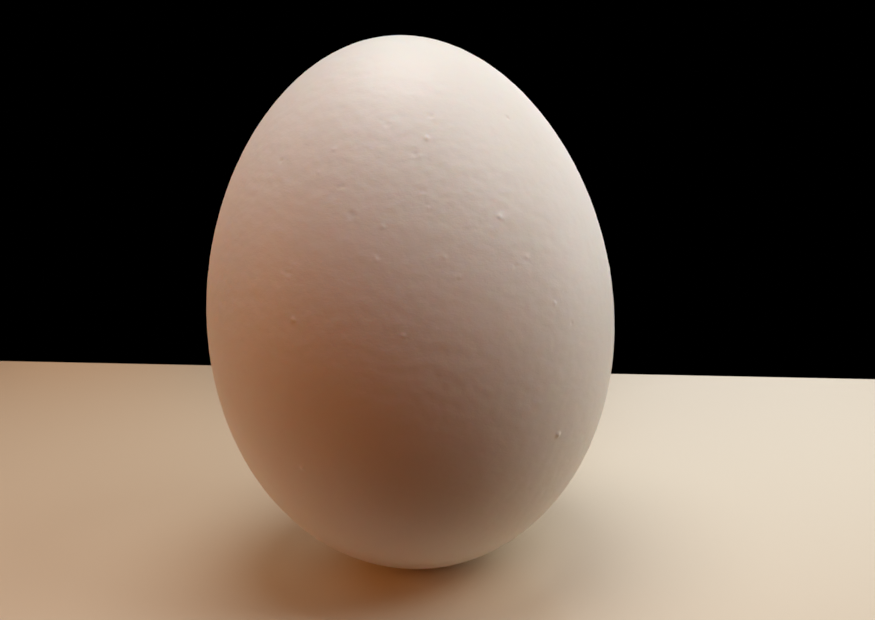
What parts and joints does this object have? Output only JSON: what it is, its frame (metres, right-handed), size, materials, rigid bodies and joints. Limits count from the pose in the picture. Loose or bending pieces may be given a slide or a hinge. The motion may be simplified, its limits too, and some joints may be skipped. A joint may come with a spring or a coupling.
{
  "type": "hen's egg",
  "caption": "Whole hen's egg in its shell, a pale matt oval tapering to the top, that stands upright on a small flat spot at its blunt end.",
  "frame": {"origin": "centre of the flat resting spot at the blunt end, the lowest point of the egg", "axes": "+Z along the egg's long axis, from the blunt end at the bottom to the narrow end at the top; the side that the picture shows faces -Y"},
  "size_m": [0.0436, 0.0436, 0.0573],
  "materials": {
    "eggshell": "matt, pale cream, finely pimpled like orange peel"
  },
  "bodies": {
    "root": {"egg": "eggshell"}
  },
  "joints": []
}
